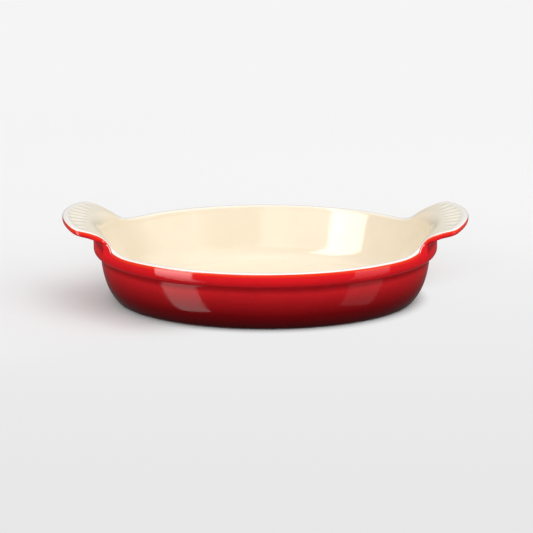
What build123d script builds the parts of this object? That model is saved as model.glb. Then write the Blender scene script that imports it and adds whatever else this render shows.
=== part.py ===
from build123d import *
from math import asin, atan2, cos, degrees, hypot, radians, sin, sqrt, tan
import os

os.makedirs("parts", exist_ok=True)

# Oval gratin dish in glazed stoneware, in millimetres. The origin is at the middle of
# the foot, on the table; +X runs through both handles and +Z points up. A real dish is
# one fired clay body, with a cream glaze inside, a red glaze outside and a thin clear
# glaze in the recess under the floor. Only the foot ring is left bare.

# Overall sizes of the glazed dish
overall_length = 320.0
rim_length = 272.0
rim_width = 199.4
rim_height = 49.8
end_radius_share = 0.4037
rim_thickness = 5.5
rim_outer_round = 1.9
rim_inner_round = 2.2

# Collar under the rim and the soft crease below it, in section
collar_straight = 6.5
collar_round = 6.0
collar_turn = 75.0
crease_radius = 1.6

# Side wall in section, from the crease down to the heel
wall_draft = 3.0
belly_radius = 85.0
belly_turn = 12.8
heel_radius = 44.0
heel_gap = 0.8

# Inside of the bowl in section
mouth_radius = 12.0
inner_draft = 19.0
floor_radius = 20.0
floor_height = 6.5

# Foot ring and the recess inside it
foot_inset = 21.0
foot_width = 6.0
recess_depth = 1.8

# Handles: rise, thickness and outline in plan
handle_rise = 20.9
handle_thickness = 5.5
handle_slope = 7.9
handle_start_inset = 33.0
handle_foot_share = 0.45
handle_brow_share = 0.88
shoulder_reach = 14.0
shoulder_width = 88.2
handle_root_width = 70.6
shoulder_round = 9.0
neck_round = 10.0
handle_under_round = 2.1

# Fan of shallow flutes on top of each handle
flute_count = 9
flute_spread = 80.0
flute_fan_radius = 54.0
flute_length = 26.0
flute_depth = 0.5
flute_radius = 14.0
flute_inner_share = 0.6
flute_outer_share = 0.9

# Glaze, and the line where the cream glaze ends on the outer rounding
glaze_thickness = 0.45
colour_line_inset = 0.7

# One overrun for everything that cuts
overrun = 10.0

# A face looks up or down when its normal leans less than 60 degrees from upright
upright_share = 0.5

# The oval is four arcs: the ends turn about (+-end_centre, 0), the sides about (0, +-side_centre)
end_radius = end_radius_share * rim_width
end_centre = rim_length / 2 - end_radius
side_gap = rim_width / 2 - end_radius
side_centre = (end_centre**2 - side_gap**2) / (2 * side_gap)
side_radius = rim_width / 2 + side_centre
end_angle = degrees(atan2(side_centre, end_centre))
oval_arcs = (
    ((end_centre, 0, 0), end_radius, -end_angle, 2 * end_angle),
    ((0, -side_centre, 0), side_radius, end_angle, 180 - 2 * end_angle),
    ((-end_centre, 0, 0), end_radius, 180 - end_angle, 2 * end_angle),
    ((0, side_centre, 0), side_radius, 180 + end_angle, 180 - 2 * end_angle),
)

# Heights where the crease and the belly end, and the turn that is left for the heel
collar_sine = sin(radians(collar_turn))
draft_sine = sin(radians(wall_draft))
collar_bottom = rim_height - collar_straight - collar_round * collar_sine
crease_end_height = collar_bottom - crease_radius * (collar_sine - draft_sine)
belly_end_angle = wall_draft + belly_turn
belly_end_sine = sin(radians(belly_end_angle))
belly_end_height = crease_end_height - belly_radius * (belly_end_sine - draft_sine)
heel_end_angle = degrees(asin(belly_end_sine + (belly_end_height - heel_gap) / heel_radius))
heel_turn = heel_end_angle - belly_end_angle

# The flat middle of the floor starts inside the foot ring
core_inset = foot_inset + foot_width + floor_radius / 2
floor_middle = (floor_height + recess_depth) / 2

# Handles in length, and the blocks that they are cut with
handle_tip = overall_length / 2
handle_start = rim_length / 2 - handle_start_inset
handle_span = handle_tip - handle_start
wall_top = rim_height + handle_rise + overrun
cutter_top = wall_top + overrun
far_end = handle_tip + overrun
side_plane = Plane.XZ.offset(-rim_width / 2 - overrun)
side_depth = rim_width + 2 * overrun

# A flute ends in a quarter ball, which leaves the surface this far past its middle
flute_end = sqrt(flute_radius**2 - (flute_radius - flute_depth) ** 2)


def inset_of(point):
    """How far a point lies inside the rim's outer edge, seen from above."""
    across = abs(point.Y)
    along = abs(point.X) - end_centre
    if degrees(atan2(across, along)) < end_angle:
        return end_radius - hypot(along, across)
    return side_radius - hypot(point.X, across + side_centre)


def outer_edges(faces):
    """Edges round a patch of faces, without the ones that two of its faces share."""
    edges = faces.edges()
    return ShapeList(edge for edge in set(edges) if sum(edge == other for other in edges) == 1)


def oval(inset):
    """The rim's outline, inset mm inside its outer edge."""
    with BuildLine() as outline:
        for centre, radius, start, turn in oval_arcs:
            CenterArc(centre, radius - inset, start, turn)
    make_face(outline.edges())


def lobe(side, inset):
    """Outline of one handle with sharp shoulders. Its root lies inside the oval."""
    shoulder = side * (handle_tip - shoulder_reach)
    root = side * handle_start
    with BuildLine() as outline:
        sides = Polyline(
            (shoulder, inset - shoulder_width / 2),
            (root, inset - handle_root_width / 2),
            (root, handle_root_width / 2 - inset),
            (shoulder, shoulder_width / 2 - inset),
        )
        ThreePointArc(sides @ 1, (side * (handle_tip - inset), 0), sides @ 0)
    make_face(outline.edges())


def outline_block(inset):
    """Upright block over the whole dish in plan, inset mm inside its outer edge."""
    with BuildPart() as block:
        with BuildSketch():
            oval(inset)
            for side in (1, -1):
                lobe(side, inset)
        extrude(amount=wall_top)
        uprights = block.edges().filter_by(Axis.Z).sort_by(lambda edge: abs(edge.center().X))
        shoulders = uprights[-4:]
        necks = uprights[-8:-4]
        fillet(shoulders, shoulder_round - inset)
        fillet(necks, neck_round + inset)
    return block.part


def handle_curve(side, drop):
    """Rise of a handle from the rim to its tip, drop mm below its top face."""
    level = rim_height - drop
    brow = handle_brow_share * handle_span
    return Bezier(
        (side * handle_start, level),
        (side * (handle_start + handle_foot_share * handle_span), level),
        (side * (handle_tip - brow), level + handle_rise - brow * tan(radians(handle_slope))),
        (side * handle_tip, level + handle_rise),
    )


def space_above(drop):
    """Everything above the rim and the handles, drop mm below their top faces."""
    with BuildPart() as space:
        with BuildSketch(side_plane):
            with BuildLine():
                right = handle_curve(1, drop)
                left = handle_curve(-1, drop)
                Line(left @ 0, right @ 0)
                Polyline(
                    right @ 1,
                    (far_end, (right @ 1).Y),
                    (far_end, cutter_top),
                    (-far_end, cutter_top),
                    (-far_end, (left @ 1).Y),
                    left @ 1,
                )
            make_face()
        extrude(amount=side_depth)
    return space.part


def space_below(drop):
    """Everything below the handles, drop mm under their top faces, and between their roots."""
    with BuildPart() as space:
        with BuildSketch(side_plane):
            with BuildLine():
                right = handle_curve(1, drop)
                left = handle_curve(-1, drop)
                Polyline(right @ 0, (handle_start, cutter_top), (-handle_start, cutter_top), left @ 0)
                Polyline(
                    right @ 1,
                    (far_end, (right @ 1).Y),
                    (far_end, -overrun),
                    (-far_end, -overrun),
                    (-far_end, (left @ 1).Y),
                    left @ 1,
                )
            make_face()
        extrude(amount=side_depth)
    return space.part


def wall_section(radius, skin):
    """Section of wall, foot and floor edge, with X as the distance from the arc's centre."""
    inner_face = radius - rim_thickness + skin
    core = radius - core_inset
    foot_outside = radius - foot_inset
    foot_inside = foot_outside - foot_width
    with BuildLine() as outline:
        face = Line((radius - skin, wall_top), (radius - skin, rim_height - collar_straight))
        collar = JernArc(face @ 1, (0, -1), collar_round - skin, -collar_turn)
        crease = JernArc(collar @ 1, collar % 1, crease_radius + skin, collar_turn - wall_draft)
        belly = JernArc(crease @ 1, crease % 1, belly_radius - skin, -belly_turn)
        heel = JernArc(belly @ 1, belly % 1, heel_radius - skin, -heel_turn)
        underside = Polyline(
            heel @ 1,
            (foot_outside, (heel @ 1).Y),
            (foot_outside, 0),
            (foot_inside, 0),
            (foot_inside, recess_depth + skin),
            (core, recess_depth + skin),
            (core, floor_height - skin),
        )
        mouth = JernArc((inner_face, rim_height), (0, -1), mouth_radius + skin, -inner_draft)
        turn_drop = (floor_radius + skin) * (1 - sin(radians(inner_draft)))
        slope_drop = (mouth @ 1).Y - (floor_height - skin) - turn_drop
        slope = PolarLine(mouth @ 1, slope_drop / cos(radians(inner_draft)), direction=mouth % 1)
        floor_turn = JernArc(slope @ 1, slope % 1, floor_radius + skin, inner_draft - 90)
        Line(floor_turn @ 1, underside @ 1)
        Polyline(mouth @ 0, (inner_face, wall_top), face @ 0)
    make_face(outline.edges())


def handle_plates(skin):
    """Both handles, from the middle of the rim's wall outwards, still square on top."""
    with BuildPart() as plates:
        add(outline_block(skin))
        with BuildSketch():
            oval(rim_thickness / 2)
        extrude(amount=wall_top, mode=Mode.SUBTRACT)
        add(space_below(handle_thickness - skin), mode=Mode.SUBTRACT)
        undersides = plates.faces().filter_by(lambda face: face.normal_at().Z < -upright_share)
        lower_edges = outer_edges(undersides)
        free_edges = lower_edges.filter_by(lambda edge: inset_of(edge.center()) < rim_thickness / 4)
        fillet(free_edges, handle_under_round - skin)
    return plates.part


def flute_cutters(skin):
    """Fan of shallow troughs on both handles. They fade out towards the bowl."""
    with BuildLine():
        top = handle_curve(1, 0)
    inner_point = top @ flute_inner_share
    outer_point = top @ flute_outer_share
    along = (outer_point - inner_point).normalized()
    upward = Vector(-along.Y, along.X)
    inner_axis = inner_point + upward * flute_radius
    outer_axis = outer_point + upward * (flute_radius - flute_depth)
    axis = (outer_axis - inner_axis).normalized()
    middle = outer_axis - axis * flute_fan_radius
    fan = Plane((middle.X, 0, middle.Y), x_dir=(axis.X, 0, axis.Y), z_dir=(-axis.Y, 0, axis.X))
    flute_places = PolarLocations(
        flute_fan_radius - flute_end, flute_count, -flute_spread / 2, flute_spread, endpoint=True
    )
    with BuildPart(fan) as cutters:
        with flute_places:
            Sphere(flute_radius + skin)
            Cylinder(
                flute_radius + skin,
                flute_length,
                rotation=(0, -90, 0),
                align=(Align.CENTER, Align.CENTER, Align.MIN),
            )
        mirror(about=Plane.YZ)
    return cutters.part


def casting(skin):
    """The whole dish as one solid, with every glazed face moved skin mm into the clay."""
    with BuildPart() as dish:
        for centre, radius, start, turn in oval_arcs:
            outward = (cos(radians(start)), sin(radians(start)))
            with BuildSketch(Plane(centre, x_dir=outward, z_dir=(outward[1], -outward[0], 0))):
                wall_section(radius, skin)
            revolve(axis=Axis(centre, (0, 0, 1)), revolution_arc=turn)
        with BuildSketch(Plane.XY.offset(recess_depth + skin)):
            oval(core_inset)
        extrude(amount=floor_height - recess_depth - 2 * skin)
        add(handle_plates(skin))
        add(space_above(skin), mode=Mode.SUBTRACT)
        tops = dish.faces().filter_by(
            lambda face: face.normal_at().Z > upright_share and face.center().Z > rim_height - collar_straight
        )
        edges = outer_edges(tops)
        inner_chain = edges.filter_by(lambda edge: inset_of(edge.center()) > rim_thickness / 2)
        outer_chain = edges.filter_by(lambda edge: inset_of(edge.center()) < rim_thickness / 2)
        fillet(inner_chain, rim_inner_round - skin)
        fillet(outer_chain, rim_outer_round - skin)
        add(flute_cutters(skin), mode=Mode.SUBTRACT)
    return dish.part


def cream_side():
    """Everything on the cream side of the colour line, cut off through the middle of the clay."""
    with BuildPart() as block:
        add(outline_block(colour_line_inset))
        add(space_above(handle_thickness / 2), mode=Mode.INTERSECT)
        with BuildSketch(Plane.XY.offset(rim_height)):
            oval(rim_thickness / 2)
        extrude(amount=handle_rise + overrun)
        with BuildSketch(Plane.XY.offset(rim_height)):
            oval(rim_thickness / 2)
        extrude(amount=floor_middle - rim_height, taper=inner_draft)
    return block.part


# Fired clay body, bare only on its foot ring
with BuildPart() as stoneware_body:
    add(casting(glaze_thickness))

# The glaze is what the finished dish has over its clay body
with BuildPart() as coats:
    add(casting(0))
    add(stoneware_body.part, mode=Mode.SUBTRACT)

base_coat, main_coat = coats.solids().sort_by(Axis.Z)
cream_block = cream_side()

# Cream glaze over the inside, the rim and the tops of the handles
with BuildPart() as interior_glaze:
    add(main_coat)
    add(cream_block, mode=Mode.INTERSECT)

# Red glaze over the collar, the wall and the edges and undersides of the handles
with BuildPart() as exterior_glaze:
    add(main_coat)
    add(cream_block, mode=Mode.SUBTRACT)

# Clear glaze in the recess inside the foot ring
with BuildPart() as base_glaze:
    add(base_coat)

stoneware_body.part.label = "stoneware_body"
export_step(stoneware_body.part, "parts/stoneware_body.step")
interior_glaze.part.label = "interior_glaze"
export_step(interior_glaze.part, "parts/interior_glaze.step")
exterior_glaze.part.label = "exterior_glaze"
export_step(exterior_glaze.part, "parts/exterior_glaze.step")
base_glaze.part.label = "base_glaze"
export_step(base_glaze.part, "parts/base_glaze.step")
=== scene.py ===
"""Looks of an oval gratin dish in glazed stoneware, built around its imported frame."""

import logging
import math
from dataclasses import dataclass, field
from enum import Enum
from typing import Any

import bpy
import numpy as np
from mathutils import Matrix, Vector


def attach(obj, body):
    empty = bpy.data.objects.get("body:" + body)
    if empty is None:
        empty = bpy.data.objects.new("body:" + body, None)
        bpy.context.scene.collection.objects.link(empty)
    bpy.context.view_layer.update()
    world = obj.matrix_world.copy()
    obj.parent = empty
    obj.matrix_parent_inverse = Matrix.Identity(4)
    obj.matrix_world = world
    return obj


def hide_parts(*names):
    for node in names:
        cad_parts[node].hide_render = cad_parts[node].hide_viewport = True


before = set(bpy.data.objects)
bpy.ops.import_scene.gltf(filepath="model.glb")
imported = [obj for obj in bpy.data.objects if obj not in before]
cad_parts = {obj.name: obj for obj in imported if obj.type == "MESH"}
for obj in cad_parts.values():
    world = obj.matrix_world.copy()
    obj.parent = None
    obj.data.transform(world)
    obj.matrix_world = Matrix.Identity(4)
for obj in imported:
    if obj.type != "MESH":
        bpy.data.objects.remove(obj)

LOG = logging.getLogger("gratin_dish")
MM = 0.001
HALVINGS = 60
Array = np.ndarray
Pair = tuple[float, float]
Triple = tuple[float, float, float]


class Slot(Enum):
    """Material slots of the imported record."""

    CLAY = "fired_clay"
    CREAM = "cream_glaze"
    RED = "red_glaze"
    BASE = "base_glaze"


class Mark(Enum):
    """Point attributes that the finishes and the flutes read."""

    LINE = "line_distance"
    # Painted shade under the handles and on the collar below them
    POOL = "glaze_pool"
    # White line on the ledge at each neck: partly a glaze break, partly a painted highlight
    BARE = "glaze_break"
    EDGE = "edge_distance"
    REACH = "flute_reach"


# Node trees


class Wire:
    """One socket of a node tree that takes part in Python expressions."""

    def __init__(self, book: "NodeBook", socket: Any) -> None:
        """Keeps the socket and the tree it belongs to."""
        self.book = book
        self.socket = socket

    def __add__(self, other: Any) -> "Wire":
        """Sum."""
        return self.book.math("ADD", self, other)

    __radd__ = __add__

    def __mul__(self, other: Any) -> "Wire":
        """Product."""
        return self.book.math("MULTIPLY", self, other)

    __rmul__ = __mul__

    def __sub__(self, other: Any) -> "Wire":
        """Difference."""
        return self.book.math("SUBTRACT", self, other)

    def __rsub__(self, other: Any) -> "Wire":
        """Difference, reflected."""
        return self.book.math("SUBTRACT", other, self)

    def __truediv__(self, other: Any) -> "Wire":
        """Quotient."""
        return self.book.math("DIVIDE", self, other)

    def __pow__(self, other: Any) -> "Wire":
        """Power."""
        return self.book.math("POWER", self, other)

    def __abs__(self) -> "Wire":
        """Absolute value."""
        return self.book.math("ABSOLUTE", self)


class NodeBook:
    """Adds nodes to one tree."""

    def __init__(self, tree: bpy.types.NodeTree) -> None:
        """Keeps the tree."""
        self.tree = tree

    def node(self, kind: str, settings: dict[str, Any] | None = None,
             sockets: dict[Any, Any] | None = None) -> bpy.types.Node:
        """Adds one node.

        Args:
            kind: The node's type.
            settings: Properties, set first. The key "stops" fills a colour ramp.
            sockets: Values or wires for the inputs, by name or number.

        Returns:
            The new node.
        """
        node = self.tree.nodes.new(kind)
        for key, value in (settings or {}).items():
            if key == "stops":
                ramp = node.color_ramp
                while len(ramp.elements) < len(value):
                    ramp.elements.new(0.5)
                for element, (place, colour) in zip(ramp.elements, value):
                    element.position = place
                    element.color = (*colour, 1.0)
            else:
                setattr(node, key, value)
        for key, value in (sockets or {}).items():
            if isinstance(value, Wire):
                self.tree.links.new(value.socket, node.inputs[key])
            else:
                node.inputs[key].default_value = value
        return node

    def wire(self, kind: str, settings: dict[str, Any] | None = None,
             sockets: dict[Any, Any] | None = None, out: Any = 0) -> Wire:
        """Adds one node and returns one of its outputs, by name or number."""
        return Wire(self, self.node(kind, settings, sockets).outputs[out])

    def math(self, operation: str, *values: Any) -> Wire:
        """Adds one Math node."""
        return self.wire("ShaderNodeMath", {"operation": operation}, dict(enumerate(values)))

    def smooth(self, value: Any, low: float, high: float) -> Wire:
        """Smooth step of a value, 0 at low and 1 at high."""
        settings = {"interpolation_type": "SMOOTHSTEP"}
        return self.wire("ShaderNodeMapRange", settings, {0: value, 1: low, 2: high, 3: 0.0, 4: 1.0})

    def blend(self, share: Any, first: Any, second: Any) -> Wire:
        """Mixes two colours."""
        sockets = {0: share, 6: as_colour(first), 7: as_colour(second)}
        return self.wire("ShaderNodeMix", {"data_type": "RGBA"}, sockets, 2)

    def mark(self, mark: Mark) -> Wire:
        """Reads a point attribute in a material."""
        return self.wire("ShaderNodeAttribute", {"attribute_name": mark.value}, out="Fac")

    def noise(self, place: Wire, scale: float, detail: float = 2.0, roughness: float = 0.5) -> Wire:
        """Noise with cells of about 1/scale metres."""
        sockets = {"Vector": place, "Scale": scale, "Detail": detail, "Roughness": roughness}
        return self.wire("ShaderNodeTexNoise", None, sockets)

    def axis(self, place: Any, number: int) -> Wire:
        """One part of a vector: 0 for x, 1 for y, 2 for z."""
        return self.wire("ShaderNodeSeparateXYZ", None, {0: place}, number)


def as_colour(value: Any) -> Any:
    """Gives a colour its alpha, and leaves a wire as it is."""
    return value if isinstance(value, Wire) else (*value, 1.0)


def shade(red: int, green: int, blue: int) -> Triple:
    """Linear colour of a shade that is written as on a screen, 0 to 255."""
    def linear(level: int) -> float:
        """One channel."""
        share = level / 255
        return share / 12.92 if share <= 0.04045 else ((share + 0.055) / 1.055) ** 2.4
    return linear(red), linear(green), linear(blue)


def new_material(name: str) -> tuple[bpy.types.Material, NodeBook, bpy.types.Node]:
    """Starts a material.

    Args:
        name: Name of the material.

    Returns:
        The material, its node book and its output node.
    """
    material = bpy.data.materials.new(name)
    material.use_nodes = True
    material.node_tree.nodes.clear()
    book = NodeBook(material.node_tree)
    return material, book, book.node("ShaderNodeOutputMaterial")


# Finishes


@dataclass(frozen=True)
class Clouds:
    """Soft patches of noise, in cells of about 1/scale metres."""

    scale: float
    detail: float
    roughness: float
    low: float
    high: float
    strength: float = 1.0

    def mask(self, book: NodeBook, place: Wire) -> Wire:
        """Strength of the patches over the surface."""
        noise = book.noise(place, self.scale, self.detail, self.roughness)
        return book.smooth(noise, self.low, self.high) * self.strength


@dataclass(frozen=True)
class Specks:
    """Small round specks, one at most to a cell of about 1/scale metres."""

    scale: float
    size: float
    strength: float

    def mask(self, book: NodeBook, place: Wire) -> Wire:
        """Strength of the specks over the surface."""
        distance = book.wire("ShaderNodeTexVoronoi", None, {"Vector": place, "Scale": self.scale})
        return (1.0 - book.smooth(distance, self.size / 2, self.size)) * self.strength


@dataclass(frozen=True)
class ThinBand:
    """Band along the line where the colours meet, with a ragged border, in millimetres."""

    scale: float
    wander: float
    low: float
    high: float
    strength: float

    def mask(self, book: NodeBook, place: Wire) -> Wire:
        """Strength of the band over the surface."""
        line = book.mark(Mark.LINE) + (book.noise(place, self.scale) - 0.5) * self.wander
        return (1.0 - book.smooth(line, self.low, self.high)) * self.strength


@dataclass(frozen=True)
class Finish:
    """What the finishes share: unless set otherwise, a glassy skin with a faint orange peel."""

    name: str
    gloss: float = 0.07
    gloss_change: float = 0.05
    change: Triple = (60.0, 3.0, 0.5)
    shine: float = 0.42
    peel_cell: float = 0.006
    finer_peel: float = 4.0
    relief_height: float = 0.00003

    def colour(self, book: NodeBook, place: Wire) -> Wire:
        """Colour over the surface."""
        raise NotImplementedError

    def relief(self, book: NodeBook, place: Wire) -> Wire:
        """Height of the surface in shares of relief_height."""
        broad = book.noise(place, 1 / self.peel_cell, 1.0)
        fine = book.noise(place, self.finer_peel / self.peel_cell)
        return broad + fine * (1 / self.finer_peel)

    def coat(self, book: NodeBook) -> Any:
        """How much of a second, glassier skin lies on top."""
        return 0.0

    def make(self) -> bpy.types.Material:
        """Builds the material."""
        material, book, output = new_material(self.name)
        place = book.wire("ShaderNodeTexCoord", out="Object")
        change = book.noise(place, *self.change)
        normal = book.wire("ShaderNodeBump", None, {
            "Strength": 1.0, "Distance": self.relief_height, "Height": self.relief(book, place)})
        shader = book.node("ShaderNodeBsdfPrincipled", None, {
            "Base Color": self.colour(book, place),
            "Roughness": self.gloss + change * self.gloss_change,
            "Specular IOR Level": self.shine,
            "Coat Weight": self.coat(book),
            "Normal": normal})
        book.tree.links.new(shader.outputs[0], output.inputs[0])
        return material


@dataclass(frozen=True)
class RedGlaze(Finish):
    """Red glaze, bright on the collar and near black red at the foot: its own ombré plus painted shade."""

    name: str = "red_glaze_shaded"
    shine: float = 0.11
    # Height ramp: darker towards the foot, partly the glaze's own ombré and partly painted shade
    collar: Triple = shade(244, 22, 33)
    # Painted shade: under_collar, over_crease and crease darken the collar's lower turn and the crease
    under_collar: Triple = shade(210, 22, 31)
    over_crease: Triple = shade(170, 18, 25)
    crease: Triple = shade(148, 16, 22)
    wall_top: Triple = shade(188, 27, 33)
    wall_middle: Triple = shade(153, 18, 23)
    wall_low: Triple = shade(101, 3, 8)
    heel: Triple = shade(52, 5, 8)
    thin_line: Triple = shade(248, 66, 18)
    # Painted shade under the handles and on the collar below them
    under_handle_shaded: Triple = shade(172, 12, 26)
    # White neck line: partly a glaze break, partly a painted highlight
    break_glint_white: Triple = shade(252, 240, 232)
    ramp_height: float = 0.05
    drift: float = 0.002
    drift_noise: Pair = (22.0, 3.0)
    clouds: Clouds = Clouds(90.0, 4.0, 0.6, 0.4, 0.75, 0.1)
    band: ThinBand = ThinBand(260.0, 0.9, 0.3, 3.2, 0.85)
    under_shade_span: Pair = (0.1, 1.0)
    break_glint_span: Pair = (0.25, 0.75)
    coat_span: Pair = (1.0, 8.0)
    coat_weight: float = 0.8

    def colour(self, book: NodeBook, place: Wire) -> Wire:
        """Ramp by height, a thin line at the cream, painted shade under the handles, white at the necks."""
        height = book.axis(place, 2) + (book.noise(place, *self.drift_noise) - 0.5) * self.drift
        # Stops from the foot up; the crease dip and the dark foot are painted shade over the real ombré
        stops = [
            (0.01, self.heel), (0.25, self.wall_low), (0.47, self.wall_middle), (0.63, self.wall_top),
            (0.71, self.crease), (0.77, self.over_crease), (0.86, self.under_collar), (0.97, self.collar)]
        body = book.wire("ShaderNodeValToRGB", {"stops": stops}, {0: height / self.ramp_height})
        # Painted shade under the handles
        under_handle_shaded = book.blend(book.smooth(book.mark(Mark.POOL), *self.under_shade_span), body, self.under_handle_shaded)
        mottled = book.blend(self.clouds.mask(book, place), under_handle_shaded, self.wall_low)
        lined = book.blend(self.band.mask(book, place), mottled, self.thin_line)
        # White line at the necks: partly a glaze break, partly a painted highlight
        return book.blend(book.smooth(book.mark(Mark.BARE), *self.break_glint_span), lined, self.break_glint_white)

    def coat(self, book: NodeBook) -> Any:
        """Glassier where the coat is drawn thin over an edge."""
        return (1.0 - book.smooth(book.mark(Mark.LINE), *self.coat_span)) * self.coat_weight


@dataclass(frozen=True)
class CreamGlaze(Finish):
    """Warm cream glaze, whiter along the rim: partly thin glaze, partly a painted highlight."""

    name: str = "cream_glaze_inside"
    gloss: float = 0.06
    cream: Triple = shade(246, 234, 212)
    warm: Triple = shade(240, 224, 196)
    # Whiter rim: partly thinner glaze, partly a painted highlight
    rim: Triple = shade(252, 249, 246)
    # Painted reflection: handle tops cooler and whiter, as if mirroring the pale surroundings
    handle_top_reflection: Triple = shade(245, 239, 225)
    fleck: Triple = shade(196, 170, 132)
    clouds: Clouds = Clouds(26.0, 4.0, 0.55, 0.35, 0.75, 0.45)
    handle_span: Pair = (0.124, 0.146)
    handle_share: float = 0.9
    band: ThinBand = ThinBand(180.0, 0.8, 2.6, 6.0, 0.8)
    flecks: Specks = Specks(150.0, 0.045, 0.5)
    pinholes: Specks = Specks(85.0, 0.035, 1.2)

    def colour(self, book: NodeBook, place: Wire) -> Wire:
        """Cream with soft warm clouds, painted reflection on handle tops, a whiter rim and tiny flecks."""
        body = book.blend(self.clouds.mask(book, place), self.cream, self.warm)
        # Painted reflection on the handle tops
        handles = book.smooth(abs(book.axis(place, 0)), *self.handle_span) * self.handle_share
        body = book.blend(handles, body, self.handle_top_reflection)
        # Whiter rim band: partly thinner glaze, partly a painted highlight
        rimmed = book.blend(self.band.mask(book, place), body, self.rim)
        return book.blend(self.flecks.mask(book, place), rimmed, self.fleck)

    def relief(self, book: NodeBook, place: Wire) -> Wire:
        """Orange peel with a few pinholes."""
        return super().relief(book, place) - self.pinholes.mask(book, place)


@dataclass(frozen=True)
class Speckled(Finish):
    """Cloudy ground with specks, in the colours of the clay."""

    ground: Triple = shade(226, 206, 176)
    cloud: Triple = shade(198, 164, 124)
    speck: Triple = shade(112, 84, 58)
    clouds: Clouds = Clouds(45.0, 5.0, 0.6, 0.3, 0.75, 0.6)
    specks: Specks = Specks(520.0, 0.2, 0.6)

    def colour(self, book: NodeBook, place: Wire) -> Wire:
        """Ground, clouds and specks."""
        ground = book.blend(self.clouds.mask(book, place), self.ground, self.cloud)
        return book.blend(self.specks.mask(book, place), ground, self.speck)


@dataclass(frozen=True)
class BaseGlaze(Speckled):
    """Thin satin glaze in the recess under the floor, with the clay showing through."""

    name: str = "base_glaze_satin"
    gloss: float = 0.3
    gloss_change: float = 0.15
    relief_height: float = 0.00006
    ground: Triple = shade(210, 193, 165)
    cloud: Triple = shade(224, 211, 188)
    speck: Triple = shade(120, 92, 62)
    clouds: Clouds = Clouds(38.0, 5.0, 0.6, 0.35, 0.7)
    specks: Specks = Specks(420.0, 0.16, 0.45)


@dataclass(frozen=True)
class FiredClay(Speckled):
    """Bare fired clay: matt, buff, with grog specks and a rough skin."""

    name: str = "fired_clay_bare"
    gloss: float = 0.78
    gloss_change: float = 0.18
    change: Triple = (900.0, 6.0, 0.7)
    shine: float = 0.5
    relief_height: float = 0.00012

    def relief(self, book: NodeBook, place: Wire) -> Wire:
        """Grain of the unglazed clay."""
        return book.noise(place, *self.change)


# Shapes, in millimetres


def smoothstep(value: Array) -> Array:
    """Smooth step from 0 to 1."""
    share = np.clip(value, 0.0, 1.0)
    return share * share * (3.0 - 2.0 * share)


def unit(vectors: Array) -> Array:
    """Vectors of length one."""
    return vectors / np.maximum(np.linalg.norm(vectors, axis=-1, keepdims=True), 1e-12)


def shares(count: int) -> Array:
    """Even shares after 0, up to 1."""
    return np.linspace(0, 1, count + 1)[1:]


def travelled(points: Array) -> Array:
    """Length along lines of points that follow one another on the first axis."""
    steps = np.linalg.norm(np.diff(points, axis=0), axis=-1)
    return np.concatenate([np.zeros_like(steps[:1]), np.cumsum(steps, axis=0)])


def cubic(share: Array, *points: Any) -> Array:
    """Place on the cubic curve of four control points, at a share from 0 to 1."""
    rest = 1 - share
    weights = (rest ** 3, 3 * rest ** 2 * share, 3 * rest * share * share, share ** 3)
    return sum(weight * point for weight, point in zip(weights, points))


@dataclass(frozen=True)
class Corner:
    """Rounding of a corner in every column, with a curve close to a circle's arc.

    Start, corner and end are insets and heights. The curve turns through the angle turn.
    """

    start: tuple[Any, Any]
    corner: tuple[Any, Any]
    end: tuple[Any, Any]
    turn: Any = math.pi / 2

    def point(self, share: Any) -> Array:
        """Inset and height in every column, at a share of the curve."""
        start, corner, end = (np.stack(np.broadcast_arrays(*place), -1)
                              for place in (self.start, self.corner, self.end))
        pull = np.reshape(4 / 3 * np.tan(self.turn / 4) / np.tan(self.turn / 2), (-1, 1))
        first, second = start + pull * (corner - start), end + pull * (corner - end)
        return cubic(np.reshape(share, (-1, 1)), start, first, second, end)

    def share_at(self, inset: Array) -> Array:
        """Share of the curve at which its inset has shrunk to a given one."""
        low, high = np.zeros(len(inset)), np.ones(len(inset))
        for _ in range(HALVINGS):
            middle = (low + high) / 2
            before = self.point(middle)[:, 0] > inset
            low, high = np.where(before, middle, low), np.where(before, high, middle)
        return low


def arc_rows(start: tuple[float, float], radius: float, first: float, last: float,
             count: int) -> list[tuple[float, float]]:
    """Points of a section's arc after its start.

    Args:
        start: Inset and height of the start.
        radius: Radius, negative where the arc turns back outwards.
        first: Direction at the start, in degrees from straight down towards the middle.
        last: Direction at the end.
        count: Number of points.

    Returns:
        Inset and height of each point.
    """
    inset, height = start
    a = math.radians(first)
    middle = (inset + radius * math.cos(a), height + radius * math.sin(a))
    angles = np.radians(first + (last - first) * shares(count))
    return [(middle[0] - radius * math.cos(b), middle[1] - radius * math.sin(b)) for b in angles]


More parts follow.
